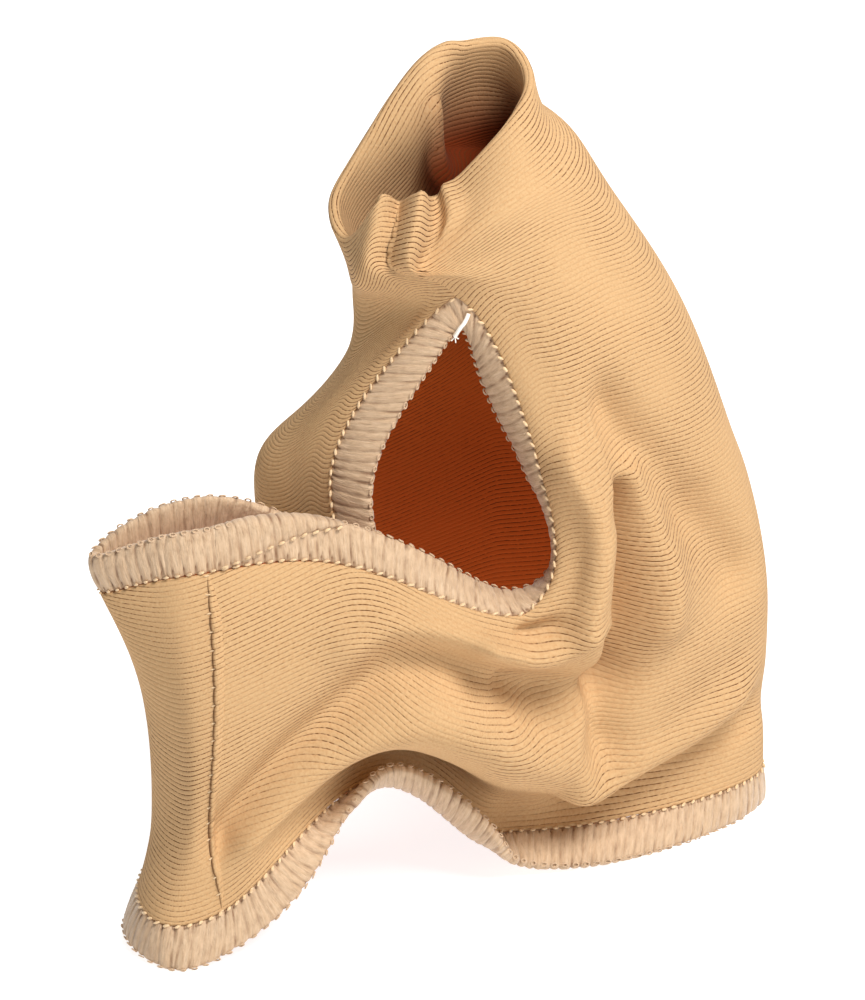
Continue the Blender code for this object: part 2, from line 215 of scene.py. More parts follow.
# %% [markdown]
# ## One open sheet
#
# Blender's grid gives the net: one column for each station and one row for each section. Each of its points
# is then moved to its place. The grid's two ends meet behind the toe joint's side of the band, so they are
# merged, and the row of faces at the opening is grown outwards from the edge for the binding.
#
# Two UV maps are kept from the start. The first says where a point lies on the flat cloth, by station and
# section, and the second says where it lies on a binding, along it and across it.

# %% Make the cage
SLEEVE, HEM_BINDING, OPENING_BINDING = range(3)


def point(shares):
    across, back, up = (share / 100 for share in shares)
    return Vector((across * WIDTH, (back - 0.5) * DEPTH, up * HEIGHT))


def place(station, level):
    """Where a grid point belongs. Level 0 is the outer edge of the bottom binding."""
    column = station % len(STATIONS)
    if level == 0:
        return point(SECTIONS["hem"][column]) + Vector(HEM_LEAN[column]).normalized() * BINDING_WIDTH
    return point(SECTIONS[LEVELS[level - 1]][column])


def post_of(vert, station_of, level_of):
    """Which post round the toe opening a grid point is. At the crotch, the corner and the pinch are one."""
    level = LEVELS[vert[level_of] - 1]
    return POSTS.index(("pinch" if level == "crotch" else STATIONS[vert[station_of] % len(STATIONS)], level))


def crease_edges(bm, station_of, level_of):
    sharpness = bm.edges.layers.float.new("crease_edge")
    for station, first, last, share in CREASES.values():
        column = STATIONS.index(station)
        rows = range(LEVELS.index(first) + 1, LEVELS.index(last) + 2)
        for edge in bm.edges:
            if all(vert[level_of] in rows and vert[station_of] in (column, column + PINCH) for vert in edge.verts):
                edge[sharpness] = share


def turn_outwards(bm):
    """An open sheet has no inside to go by, so the side that looks away from its middle is made the outer one."""
    bmesh.ops.recalc_face_normals(bm, faces=bm.faces)
    middle = sum((vert.co for vert in bm.verts), Vector()) / len(bm.verts)
    if sum((face.calc_center_median() - middle).dot(face.normal) * face.calc_area() for face in bm.faces) < 0:
        bmesh.ops.reverse_faces(bm, faces=bm.faces)


def cage():
    columns, rows = len(STATIONS), len(LEVELS)
    bm = bmesh.new()
    bmesh.ops.create_grid(bm, x_segments=columns, y_segments=rows, size=1.0)
    station_of = bm.verts.layers.int.new("station")
    level_of = bm.verts.layers.int.new("level")
    unused = []
    for vert in bm.verts:
        vert[station_of] = round((vert.co.x + 1) / 2 * columns)
        vert[level_of] = round((vert.co.y + 1) / 2 * rows)
        if vert[level_of] > OPENING + 1 and vert[station_of] > PINCH:
            unused.append(vert)
        else:
            vert.co = place(vert[station_of], vert[level_of])
    bmesh.ops.delete(bm, geom=unused, context="VERTS")
    flat = bm.loops.layers.uv.new("flat_cloth")
    strip = bm.loops.layers.uv.new("strip")
    for face in bm.faces:
        face.material_index = HEM_BINDING if min(v[level_of] for v in face.verts) == 0 else SLEEVE
        for loop in face.loops:
            loop[flat].uv = (loop.vert[station_of], loop.vert[level_of] - 1)
            loop[strip].uv = (loop.vert[station_of], 1 - loop.vert[level_of])
    bmesh.ops.remove_doubles(bm, verts=bm.verts, dist=1e-6)
    crease_edges(bm, station_of, level_of)
    edge_of_opening = [
        edge
        for edge in bm.edges
        if edge.is_boundary and all(OPENING < v[level_of] <= CROTCH + 1 for v in edge.verts)
    ]
    grown = bmesh.ops.extrude_edge_only(bm, edges=edge_of_opening)["geom"]
    outer = {item for item in grown if isinstance(item, bmesh.types.BMVert)}
    grown_faces = {face for vert in outer for face in vert.link_faces}
    post = {vert: post_of(vert, station_of, level_of) for face in grown_faces for vert in face.verts}
    for vert in outer:
        vert.co += Vector(OPENING_LEAN[POSTS[post[vert]]]).normalized() * BINDING_WIDTH
    for face in grown_faces:
        face.material_index = OPENING_BINDING
        posts = {post[vert] for vert in face.verts}
        for loop in face.loops:
            number = post[loop.vert]
            station, section = POSTS[number]
            column = STATIONS.index(station)
            if section == "crotch" and min(posts) < number:
                column = 0
            past_the_end = number == 0 and len(POSTS) - 1 in posts
            loop[flat].uv = (column + len(STATIONS) * past_the_end, LEVELS.index(section))
            loop[strip].uv = (number + len(POSTS) * past_the_end, loop.vert in outer)
    turn_outwards(bm)
    mesh = bpy.data.meshes.new("cage")
    bm.to_mesh(mesh)
    bm.free()
    return mesh


net = cage()
print("cage:", len(net.polygons), "faces")

# %% [markdown]
# ## From the cage to smooth cloth
#
# A subdivision surface shrinks away from its cage. Pulling each cage point by the distance that the surface
# misses it, a few times over, makes the surface pass through the points of the table. The result is a mesh
# with a face about every millimetre, which is fine enough for each fold.

# %% Smooth the cage
SMOOTHING = 4  # subdivision levels
FITTING = 5  # times that the cage is pulled towards its table
FINE = 2 ** SMOOTHING  # faces from one station or section to the next


def coordinates(mesh):
    found = np.empty(len(mesh.vertices) * 3)
    mesh.vertices.foreach_get("co", found)
    return found.reshape(-1, 3)


def smoothed(mesh):
    holder = bpy.data.objects.new("cage", mesh)
    bpy.context.scene.collection.objects.link(holder)
    modifier = holder.modifiers.new("smooth", "SUBSURF")
    modifier.levels = modifier.render_levels = SMOOTHING
    modifier.uv_smooth = "NONE"
    wanted = coordinates(mesh)
    for _ in range(FITTING):
        graph = bpy.context.evaluated_depsgraph_get()
        reached = coordinates(holder.evaluated_get(graph).data)[: len(wanted)]
        mesh.vertices.foreach_set("co", (coordinates(mesh) + wanted - reached).ravel())
        mesh.update()
        bpy.context.view_layer.update()
    graph = bpy.context.evaluated_depsgraph_get()
    smooth = bpy.data.meshes.new_from_object(holder.evaluated_get(graph))
    bpy.data.objects.remove(holder, do_unlink=True)
    return smooth


surface = smoothed(net)
print("smooth surface:", len(surface.polygons), "faces")

# %% [markdown]
# ## Reading the smooth surface
#
# Ribs, thread, beads and seams all follow the cloth, so a helper has to say where a place on the cloth is in
# space. The smooth surface is a regular net, so its points are put into a table by their UV. Any place
# between them is then read from the four points round it.

# %% Tables of the net
def read_uv(mesh, name):
    """The UV of each corner of each face, as two columns."""
    values = np.empty(len(mesh.loops) * 2, np.float32)
    mesh.uv_layers[name].uv.foreach_get("vector", values)
    return values.reshape(-1, 2).astype(float)


def corners_of(mesh):
    """The vertex that each corner of each face stands on."""
    found = np.empty(len(mesh.loops), np.int32)
    mesh.loops.foreach_get("vertex_index", found)
    return found


def normals_of(mesh):
    found = np.empty(len(mesh.vertices) * 3, np.float32)
    mesh.vertex_normals.foreach_get("vector", found)
    return found.reshape(-1, 3).astype(float)


def net_of(mesh, layer, part, low, high):
    """Places and normals of one part: the first index goes by the first UV, the second by the second one."""
    parts, sizes = np.empty(len(mesh.polygons), np.int32), np.empty(len(mesh.polygons), np.int32)
    mesh.polygons.foreach_get("material_index", parts)
    mesh.polygons.foreach_get("loop_total", sizes)
    steps = np.rint(read_uv(mesh, layer) * FINE).astype(int) - np.array(low) * FINE
    last = (np.array(high) - low) * FINE
    used = (np.repeat(parts, sizes) == part) & (steps >= 0).all(axis=1) & (steps <= last).all(axis=1)
    found = np.zeros((last[0] + 1, last[1] + 1, 6))
    everything = np.hstack([coordinates(mesh), normals_of(mesh)])
    found[steps[used, 0], steps[used, 1]] = everything[corners_of(mesh)[used]]
    return found


def nets_of(mesh):
    """The tables of the round band, of the toe tube above it, and of the two bindings."""
    return {
        "band": net_of(mesh, "flat_cloth", SLEEVE, (0, 0), (len(STATIONS), OPENING)),
        "tube": net_of(mesh, "flat_cloth", SLEEVE, (0, OPENING), (PINCH, len(LEVELS) - 1)),
        "hem": net_of(mesh, "strip", HEM_BINDING, (0, 0), (len(STATIONS), 1)),
        "toe_opening": net_of(mesh, "strip", OPENING_BINDING, (0, 0), (len(POSTS), 1)),
    }


def read_net(net, first, second):
    """Places and unit normals at fractions of the two indices. Past the second one's ends it goes straight on."""
    first = np.clip(np.asarray(first, float) * FINE, 0, net.shape[0] - 1)
    second = np.asarray(second, float) * FINE
    a = np.minimum(first.astype(int), net.shape[0] - 2)
    b = np.clip(second.astype(int), 0, net.shape[1] - 2)
    u, v = (first - a)[..., None], (second - b)[..., None]
    mixed = (
        net[a, b] * (1 - u) * (1 - v) + net[a + 1, b] * u * (1 - v)
        + net[a, b + 1] * (1 - u) * v + net[a + 1, b + 1] * u * v
    )
    return mixed[..., :3], mixed[..., 3:] / np.linalg.norm(mixed[..., 3:], axis=-1, keepdims=True)


def lengths_up(net):
    """How long the cloth is from the net's first row up to each of its points."""
    steps = np.linalg.norm(np.diff(net[..., :3], axis=1), axis=2)
    return np.concatenate([np.zeros((len(net), 1)), np.cumsum(steps, axis=1)], axis=1)


flat_nets = nets_of(surface)
band_heights = lengths_up(flat_nets["band"])
tube_heights = band_heights[: PINCH * FINE + 1, -1:] + lengths_up(flat_nets["tube"])
print("cloth from hem to toe rim, in mm:", (tube_heights[::FINE, -1] * 1000).round(1))

# %% [markdown]
# ## The folds
#
# Crumpled cloth has folds that run across it, and a coarse cage can't hold them. Each fold is a way over the
# flat cloth, and every point near that way is moved along the surface's normal, less and less with its
# distance. A ridge has a positive rise and a valley a negative one. The rise is a share of a full fold, and
# the spread is in hundredths of the girth. Stations past the last one go on round the band from the corner.

# %% Table of folds
STATION_AT = (  # hundredths of GIRTH
    0, 2, 4, 10, 17, 23, 29, 35, 43, 51, 54, 56, 58, 65, 72, 76, 80, 86.5, 93, 100,
)
SECTION_AT = {  # hundredths of LENGTH
    "hem": 0, "bend": 5, "lower": 14, "upper": 27, "opening": 41, "low_side": 49,
    "high_side": 66, "crotch": 82, "throat": 89.5, "neck": 94.5, "toe_rim": 100,
}
FOLDS = {
    "ridge_beside_opening": (0.95, 1.2, ((20, 5.5), (20.4, 5.1), (20.65, 4.6), (20.65, 3.95), (20.45, 3.6))),
    "nose_below_pocket": (0.7, 1.3, ((20.45, 3.6), (20, 3.4), (19.2, 3.3), (18.6, 3.35))),
    "pocket_crease": (-0.5, 1.0, ((19.3, 3.68), (19.9, 3.62), (20.5, 3.65))),
    "valley_beside_ridge": (-1.35, 1.05, ((21.2, 4.85), (21.3, 4.4), (21.35, 3.9), (21.35, 3.3), (21.3, 2.9))),
    "second_ridge": (0.75, 1.3, ((21.45, 5.0), (21.75, 4.3), (21.8, 3.8), (21.7, 3.3))),
    "valley_below_nose": (-0.7, 1.3, ((19.3, 2.95), (20.4, 2.9), (21.2, 2.8))),
    "crease_to_hem": (-0.85, 1.2, ((21.3, 2.8), (21.35, 2.4), (21.55, 2.0))),
    "valley_across_front": (
        -0.85, 1.9, ((16.3, 1.7), (17.3, 2.45), (17.7, 2.9), (18.2, 2.98), (18.85, 2.9), (19.8, 2.75)),
    ),
    "ridge_above_valley": (0.45, 1.5, ((17.3, 3.1), (17.6, 3.3), (18, 3.38), (18.5, 3.35))),
    "ridge_over_arch": (0.6, 2.0, ((16.6, 1.4), (17.3, 2.0), (18.2, 2.4), (19, 2.4), (20.6, 2.1), (21.5, 1.7))),
    "ridge_to_joint": (0.65, 1.7, ((21.4, 1.7), (21.75, 1.85), (22.15, 1.9), (22.5, 2.1))),
    "bulge_below_joint": (0.4, 3.0, ((21.9, 3.4), (22, 2.9), (21.9, 2.4))),
    "dip_above_hem": (-0.6, 1.6, ((21.5, 1.0), (22.1, 1.2), (22.8, 1.5))),
    "long_valley": (-0.8, 1.9, ((21.3, 5.6), (21.7, 4.9), (22.1, 4.1), (22.45, 3.3))),
    "groove_edge": (0.4, 0.7, ((2.25, 8.9), (2.16, 9.9))),
}


def on_cloth(stations, sections):
    """Stations and sections, in fractions, as metres on the flat cloth."""
    around = np.asarray(STATION_AT) / 100 * GIRTH
    up = np.asarray(tuple(SECTION_AT.values())) / 100 * LENGTH
    turns, rest = np.divmod(stations, len(STATIONS))
    across = np.interp(rest, np.arange(len(around)), around) + turns * GIRTH
    below = np.minimum(sections, 0) * BINDING_WIDTH
    return np.stack([across, np.interp(sections, np.arange(len(up)), up) + below], axis=-1)


def distance_to(way, places):
    """How far each place is from a way of straight stretches, all on the flat cloth."""
    nearest = np.full(len(places), np.inf)
    for start, end in zip(way, way[1:]):
        run = end - start
        along = np.clip((places - start) @ run / (run @ run), 0, 1)
        away = places - start - along[:, None] * run
        nearest = np.minimum(nearest, np.linalg.norm(away, axis=1))
    return nearest


def fold(mesh):
    where = np.zeros((len(mesh.vertices), 2))
    where[corners_of(mesh)] = read_uv(mesh, "flat_cloth")
    stations, sections = where.T
    rise = np.zeros(len(mesh.vertices))
    for share, spread, way in FOLDS.values():
        way = on_cloth(*np.transpose(way))
        width = spread / 100 * GIRTH
        for turn in (0, len(STATIONS)):
            away = distance_to(way, on_cloth(stations + turn, sections))
            rise += share * FOLD_RISE * np.exp(-((away / width) ** 2))
    moved = coordinates(mesh) + normals_of(mesh) * rise[:, None]
    mesh.vertices.foreach_set("co", moved.ravel())
    mesh.update()


fold(surface)
low, high = coordinates(surface).min(axis=0), coordinates(surface).max(axis=0)
shift = np.array([*(-(low + high) / 2)[:2], -low[2] - SETTLE])
surface.vertices.foreach_set("co", (coordinates(surface) + shift).ravel())
surface.update()
print(len(FOLDS), "folds; moved onto the frame by", (shift * 1000).round(2), "mm")
nets = nets_of(surface)

# %% [markdown]
# ## The knit's material
#
# The knit has fine ribs that run round the sleeve, and between them thin dark lines of painted shade. Real
# geometry for 150 ribs would need millions of faces, so the ribs are bump. Because they follow the cloth through
# every fold, the pattern reads the cloth's own UV map, in metres on the flat cloth, and not the object's
# coordinates. A rib is a rounded bar: the absolute value of a sine. Across the ribs lie the knit's tiny stitches.

# %% Node helpers
def new_material(name):
    made = bpy.data.materials.new(name)
    made.use_nodes = True
    return made, made.node_tree, made.node_tree.nodes["Principled BSDF"]


def add(tree, kind, **settings):
    """A node, with its properties and the values of its unlinked sockets."""
    node = tree.nodes.new(kind)
    for name, value in settings.items():
        if name in node.inputs:
            node.inputs[name].default_value = value
        else:
            setattr(node, name, value)
    return node


def math_node(tree, operation, first, second=None):
    node = tree.nodes.new("ShaderNodeMath")
    node.operation = operation
    for socket, value in zip(node.inputs, (first, second)):
        if value is None:
            continue
        if isinstance(value, bpy.types.NodeSocket):
            tree.links.new(value, socket)
        else:
            socket.default_value = value
    return node.outputs[0]


def mix_colour(tree, factor, first, second, blend="MIX"):
    node = tree.nodes.new("ShaderNodeMix")
    node.data_type = "RGBA"
    node.blend_type = blend
    for socket, value in ((node.inputs["Factor"], factor), (node.inputs["A"], first), (node.inputs["B"], second)):
        target = socket
        if socket.name in ("A", "B"):
            target = [s for s in node.inputs if s.name == socket.name and s.type == "RGBA"][0]
        if isinstance(value, bpy.types.NodeSocket):
            tree.links.new(value, target)
        else:
            target.default_value = value
    return [s for s in node.outputs if s.type == "RGBA"][0]


def noise(tree, vector, scale, detail=2.0, roughness=0.5):
    node = add(tree, "ShaderNodeTexNoise", Scale=scale, Detail=detail, Roughness=roughness)
    tree.links.new(vector, node.inputs["Vector"])
    return node.outputs[0]


def colour(red, green, blue):
    """A colour as the eye names it, 0 to 255, turned into the linear values that a shader takes."""
    shares = (channel / 255 for channel in (red, green, blue))
    return (*(share / 12.92 if share <= 0.04045 else ((share + 0.055) / 1.055) ** 2.4 for share in shares), 1.0)


print("lit knit, linear:", [round(channel, 3) for channel in colour(236, 196, 140)[:3]])

# %% The knit
TAUT = 0.030  # how far from the toe rim the stretched knit still shows its ribs more clearly
RIB_DEPTH = 0.00008
STITCH_DEPTH = 0.00005
RIB_CONTRAST = 0.95
GROOVE_SHARE = 0.38  # of the sine, below which the painted shade between two ribs begins
GLOW = 0.13  # painted glow: light that comes through the thin wall to the band's inside, as a share of its colour


def knit_material(name, crown, shade, groove_shade, depth, glow):
    made, tree, shader = new_material(name)
    cloth = add(tree, "ShaderNodeUVMap", uv_map="cloth")
    apart = add(tree, "ShaderNodeSeparateXYZ")
    tree.links.new(cloth.outputs[0], apart.inputs[0])
    wander = math_node(tree, "MULTIPLY", noise(tree, cloth.outputs[0], 160.0), RIB * 0.5)
    height = math_node(tree, "ADD", apart.outputs["Y"], wander)
    wave = math_node(tree, "SINE", math_node(tree, "MULTIPLY", height, math.pi / RIB))
    wave = math_node(tree, "ABSOLUTE", wave)
    # painted shade: a thin dark line in the groove between two ribs, broken into dots, patchy, and stronger near the
    # toe rim
    line = math_node(tree, "DIVIDE", wave, GROOVE_SHARE)
    line = math_node(tree, "SUBTRACT", 1.0, math_node(tree, "MINIMUM", line, 1.0))
    holes = noise(tree, cloth.outputs[0], 2300.0, 1.0)
    faint = noise(tree, cloth.outputs[0], 70.0, 1.0)
    to_rim = math_node(tree, "ABSOLUTE", math_node(tree, "SUBTRACT", apart.outputs["Y"], LENGTH + 1.5 * TURN))
    near_rim = math_node(tree, "MINIMUM", math_node(tree, "DIVIDE", to_rim, TAUT), 1.0)
    near_rim = math_node(tree, "SUBTRACT", 1.0, near_rim)
    dotted = math_node(tree, "ADD", math_node(tree, "MULTIPLY", holes, 4.0), -1.15)
    darkness = math_node(tree, "MULTIPLY", line, dotted)
    clearer = math_node(tree, "ADD", math_node(tree, "MULTIPLY", near_rim, 0.9), RIB_CONTRAST)
    patchy = math_node(tree, "MULTIPLY", math_node(tree, "ADD", faint, -0.34), 4.0)
    strength = math_node(tree, "MULTIPLY", math_node(tree, "MAXIMUM", patchy, 0.0), clearer)
    darkness = math_node(tree, "MULTIPLY", darkness, strength)
    grain = noise(tree, cloth.outputs[0], 2800.0, 2.0, 0.6)
    blotch = noise(tree, cloth.outputs[0], 45.0, 3.0)
    lit = mix_colour(tree, blotch, crown, tuple(0.9 * channel for channel in crown[:3]) + (1.0,))
    speckle = math_node(tree, "MULTIPLY", math_node(tree, "POWER", grain, 2.0), 1.3)
    lit = mix_colour(tree, speckle, lit, shade)
    # painted shade: inside the tube the knit turns to a dark colour with depth, most on its shaded side
    painted_shade_inside = add(tree, "ShaderNodeAttribute", attribute_name="inside")
    lit = mix_colour(tree, painted_shade_inside.outputs["Fac"], lit, depth)
    # painted glow: deep inside the band the colour turns warm, and the knit gives off light of its own
    through = add(tree, "ShaderNodeAttribute", attribute_name="glow")
    lit = mix_colour(tree, through.outputs["Fac"], lit, glow)
    shown = mix_colour(tree, math_node(tree, "MINIMUM", darkness, 1.0), lit, groove_shade)
    # painted shade along a seam's gap, from the seam strip's hollow attribute
    pit = add(tree, "ShaderNodeAttribute", attribute_name="hollow")
    shown = mix_colour(tree, pit.outputs["Fac"], shown, groove_shade)
    tree.links.new(shown, shader.inputs["Base Color"])
    tree.links.new(
        mix_colour(tree, through.outputs["Fac"], (0.0, 0.0, 0.0, 1.0), shown), shader.inputs["Emission Color"],
    )
    shader.inputs["Emission Strength"].default_value = GLOW
    stitches = add(tree, "ShaderNodeBump", Distance=STITCH_DEPTH, Strength=1.0)
    tree.links.new(grain, stitches.inputs["Height"])
    ribs = add(tree, "ShaderNodeBump", Distance=RIB_DEPTH, Strength=1.0)
    tree.links.new(math_node(tree, "POWER", wave, 0.6), ribs.inputs["Height"])
    tree.links.new(stitches.outputs[0], ribs.inputs["Normal"])
    tree.links.new(ribs.outputs[0], shader.inputs["Normal"])
    shader.inputs["Roughness"].default_value = 0.85
    shader.inputs["Specular IOR Level"].default_value = 0.08
    shader.inputs["Sheen Weight"].default_value = 0.02
    shader.inputs["Sheen Roughness"].default_value = 0.5
    return made


knit = knit_material(
    "beige_knit", colour(211, 175, 130), colour(184, 136, 88), colour(88, 46, 16), colour(98, 36, 8),
    colour(190, 92, 34),
)
print("material:", knit.name)

# %% [markdown]
# ## The sleeve
#
# The knit is the smooth surface without its two bindings. It gets a wall by extruding all of its faces and
# moving the copy inwards. At the toe the real cloth is turned in and sewn down, so there the wall is double,
# its rim is round, and the ribs go over the rim and down again on the inside.
#
# Where the cloth is folded tightly, its inner face would cross the outer one. So each inner point that comes
# too close to the outer face, or that is already through it, is moved back behind the nearest place on it.

# %% Make the sleeve
TURNED_DEPTH = 0.010  # how far down the toe tube the cloth is doubled
RIM_STEPS = 6
LEAST_WALL = 0.6  # share of the cloth's thickness that is left in the tightest fold
EASING_ROUNDS = 3
DARK_FROM = 0.001  # how deep inside the tube the painted shade on the knit begins
DARK_DEPTH = 0.015  # and over how much it does
DEEP_SIDE = (5.0, 2.0)  # the station in the middle of the tube's shaded side, and its half width
GLOW_FROM = 0.024  # how deep inside the wide band the painted glow begins
GLOW_DEPTH = 0.030


def eased(share):
    """The share, 0 to 1, with a soft start and a soft end."""
    share = min(max(share, 0.0), 1.0)
    return share * share * (3 - 2 * share)


def rib_scales():
    """How much each column's heights are stretched, so that the ribs end level with the toe rim."""
    scales = LENGTH / tube_heights[:, -1]
    front = np.linspace(scales[-1], scales[0], len(band_heights) - len(scales) + 1)
    return np.concatenate([scales, front[1:]])


def metres_on_cloth(mesh):
    """A UV map in metres on the flat cloth. Its height is measured on the cloth, so the ribs are evenly spaced."""
    places = on_cloth(*read_uv(mesh, "flat_cloth").T)
    columns, rows = np.rint(read_uv(mesh, "flat_cloth") * FINE).astype(int).T
    scales = rib_scales()
    in_band = band_heights[columns, np.clip(rows, 0, OPENING * FINE)]
    in_tube = tube_heights[np.minimum(columns, PINCH * FINE), np.maximum(rows - OPENING * FINE, 0)]
    places[:, 1] = np.where(rows <= OPENING * FINE, in_band, in_tube) * scales[columns]
    mesh.uv_layers.new(name="cloth").uv.foreach_set("vector", places.astype(np.float32).ravel())


def wall_at(height):
    """The wall's thickness, by the height on the flat cloth."""
    return CLOTH + (2 * TURN - CLOTH) * (1 - eased((LENGTH - height) / TURNED_DEPTH))


def keep_behind(bm, inner, outer_face):
    """Eases the inner points, then moves those back that come too close to the outer face."""
    free = [vert for vert in inner if not any(face.tag for face in vert.link_faces)]
    moved = 0
    for _ in range(EASING_ROUNDS):
        bmesh.ops.smooth_vert(bm, verts=free, factor=0.5, use_axis_x=True, use_axis_y=True, use_axis_z=True)
        moved = 0
        for vert in inner:
            place, normal, _face, _away = outer_face.find_nearest(vert.co)
            behind = (place - vert.co).dot(normal)
            if behind < LEAST_WALL * CLOTH:
                vert.co = place - normal * LEAST_WALL * CLOTH
                moved += 1
    return moved


def make_sleeve(mesh):
    metres_on_cloth(mesh)
    bm = bmesh.new()
    bm.from_mesh(mesh)
    bindings = [face for face in bm.faces if face.material_index != SLEEVE]
    bmesh.ops.delete(bm, geom=bindings, context="FACES")
    cloth, station = (bm.loops.layers.uv[name] for name in ("cloth", "flat_cloth"))
    start, out, up, reached = (
        bm.verts.layers.float_vector.new(name) for name in ("start", "out", "up", "reached")
    )
    share, inside, glow = (bm.verts.layers.float.new(name) for name in ("share", "inside", "glow"))
    height = {vert: vert.link_loops[0][cloth].uv.y for vert in bm.verts}
    for vert in bm.verts:
        vert[start], vert[out] = vert.co, vert.normal
        if LENGTH - height[vert] < 1e-6:
            below = min((edge.other_vert(vert) for edge in vert.link_edges), key=height.get)
            vert[up] = (vert.co - below.co).normalized()
    outer_face = BVHTree.FromBMesh(bm)
    grown = bmesh.ops.extrude_face_region(bm, geom=bm.faces[:], use_keep_orig=True)["geom"]
    inner = [item for item in grown if isinstance(item, bmesh.types.BMVert)]
    inner_faces = {item for item in grown if isinstance(item, bmesh.types.BMFace)}
    for vert in inner:
        loop = next(loop for loop in vert.link_loops if loop.face in inner_faces)
        on_cloth_y = loop[cloth].uv.y
        vert[share] = 1.0
        vert.co = Vector(vert[start]) - Vector(vert[out]) * wall_at(on_cloth_y)
        # painted shade inside the tube: darker with depth from the rim, most on the tube's shaded side
        deep_side = 1 - eased(abs(loop[station].uv.x - DEEP_SIDE[0]) - DEEP_SIDE[1])
        vert[inside] = eased((LENGTH - on_cloth_y - DARK_FROM) / DARK_DEPTH) * (0.15 + 0.85 * deep_side)
        # painted glow, deep inside the wide band
        vert[glow] = eased((LENGTH - on_cloth_y - GLOW_FROM) / GLOW_DEPTH)
    for face in inner_faces:
        for loop in face.loops:
            loop[cloth].uv.y = 2 * LENGTH + math.pi * TURN - loop[cloth].uv.y
    sides = [face for face in bm.faces if len({vert[share] for vert in face.verts}) == 2]
    rim_sides = [face for face in sides if all(Vector(vert[up]).length > 0.5 for vert in face.verts)]
    for face in sides:
        face.tag = True
    moved = keep_behind(bm, inner, outer_face)
    for vert in inner:
        vert[reached] = vert.co
    for face in rim_sides:
        for vert in face.verts:
            if not vert[share]:
                partner = next(e.other_vert(vert) for e in vert.link_edges if e.other_vert(vert)[share])
                vert[reached] = partner.co
    across = {edge for face in rim_sides for edge in face.edges if edge.verts[0][share] != edge.verts[1][share]}
    bmesh.ops.subdivide_edges(bm, edges=list(across), cuts=RIM_STEPS - 1, use_grid_fill=True)
    for vert in bm.verts:
        if Vector(vert[up]).length > 0.5 and 0 < vert[share] < 1:
            angle = math.pi * vert[share]
            over = Vector(vert[reached]) - Vector(vert[start])
            rise = Vector(vert[up]).normalized() * over.length / 2
            vert.co = Vector(vert[start]) + over * (1 - math.cos(angle)) / 2 + rise * math.sin(angle)
    for face in bm.faces:
        face.smooth = True
        face.material_index = 0
        if face.tag and all(Vector(vert[up]).length > 0.5 for vert in face.verts):
            for loop in face.loops:
                loop[cloth].uv.y = LENGTH + math.pi * TURN * loop.vert[share]
    bmesh.ops.recalc_face_normals(bm, faces=bm.faces)
    made = bpy.data.meshes.new("sleeve")
    bm.to_mesh(made)
    bm.free()
    print("inner points moved back in the last round:", moved)
    return made


def piece(name, mesh, *materials):
    """A new object of the part, riding on its only body."""
    made = bpy.data.objects.new(name, mesh)
    bpy.context.scene.collection.objects.link(made)
    mesh.materials.clear()
    for material in materials:
        mesh.materials.append(material)
    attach(made, "root")
    return made


sleeve = piece("sleeve", make_sleeve(surface), knit)
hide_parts("knit_sleeve")
print("sleeve:", len(sleeve.data.polygons), "faces")

# %% [markdown]
# ## The overlocked edges
#
# Both raw edges are wrapped by an overlock machine: a fluffy stretch yarn goes over the edge and back, 6 mm
# wide, once for each stitch. The wraps lie side by side, with a narrow crevice between each two.
# Hundreds of separate yarns would be heavy and would look stiff, so each edge is one closed padded band: a
# grid that is bent round the edge, swollen at each wrap and pinched at each crevice.
#
# A place on a band is given by three numbers: the post along it, the share of a turn round its section (from
# the needle line over the outer face to the edge, and back inside), and how far it lies above the surface.

# %% A place on an overlocked edge
BLUNTNESS = 0.5  # of the section's two ends: 1 would be an ellipse
WRAP_RISE = 0.00017  # how far a wrap stands above its crevices
CREVICE = 0.10  # half its width, in stitches
MATTED = 0.55  # how far the brushed filaments hide the crevices in the middle of the band
WRAP_SLANT = -0.55  # how far a wrap leans from the needle line to the edge, in stitches
LOWERED_BORDER = 0.72  # thickness beside the needle line, as a share of the whole


def on_band(net, posts, around, lift=0.0, narrowed=0.0):
    """Places on a band. Narrowed is the share of its width that is missing on the needle's side."""
    turn = 2 * math.pi * np.asarray(around)
    across = 0.5 - (0.5 + lift / BINDING_WIDTH) * np.cos(turn)
    across = narrowed + (1 - narrowed) * across
    thick = BINDING_THICKNESS / 2 * (LOWERED_BORDER + (1 - LOWERED_BORDER) * np.clip(across, 0, 1))
    place, normal = read_net(net, posts, across)
    rise = np.sign(np.sin(turn)) * np.abs(np.sin(turn)) ** BLUNTNESS
    return place + normal * ((thick + lift) * rise - CLOTH / 2)[..., None]


def along_at(net, across, lengths):
    """The post at each length along the line that lies that far across a band, and the whole line's length."""
    posts = np.linspace(0, (net.shape[0] - 1) / FINE, net.shape[0] * 2)
    line = read_net(net, posts, np.full(len(posts), across))[0]
    run = np.concatenate([[0], np.cumsum(np.linalg.norm(np.diff(line, axis=0), axis=1))])
    return np.interp(np.asarray(lengths), run, posts), run[-1]


for name in ("hem", "toe_opening"):
    print(name, "edge:", round(along_at(nets[name], 0.5, 0)[1] * 1000), "mm long")


# %% The wraps of yarn
PIT_AT = 0.06  # where the needle's holes lie across the band, as a share of its width
PIT_WIDTH = 0.05
PIT_LENGTH = 0.17  # in stitches
PIT_DEPTH = 0.00022
STEPS_A_STITCH = 10
STEPS_ROUND = 36


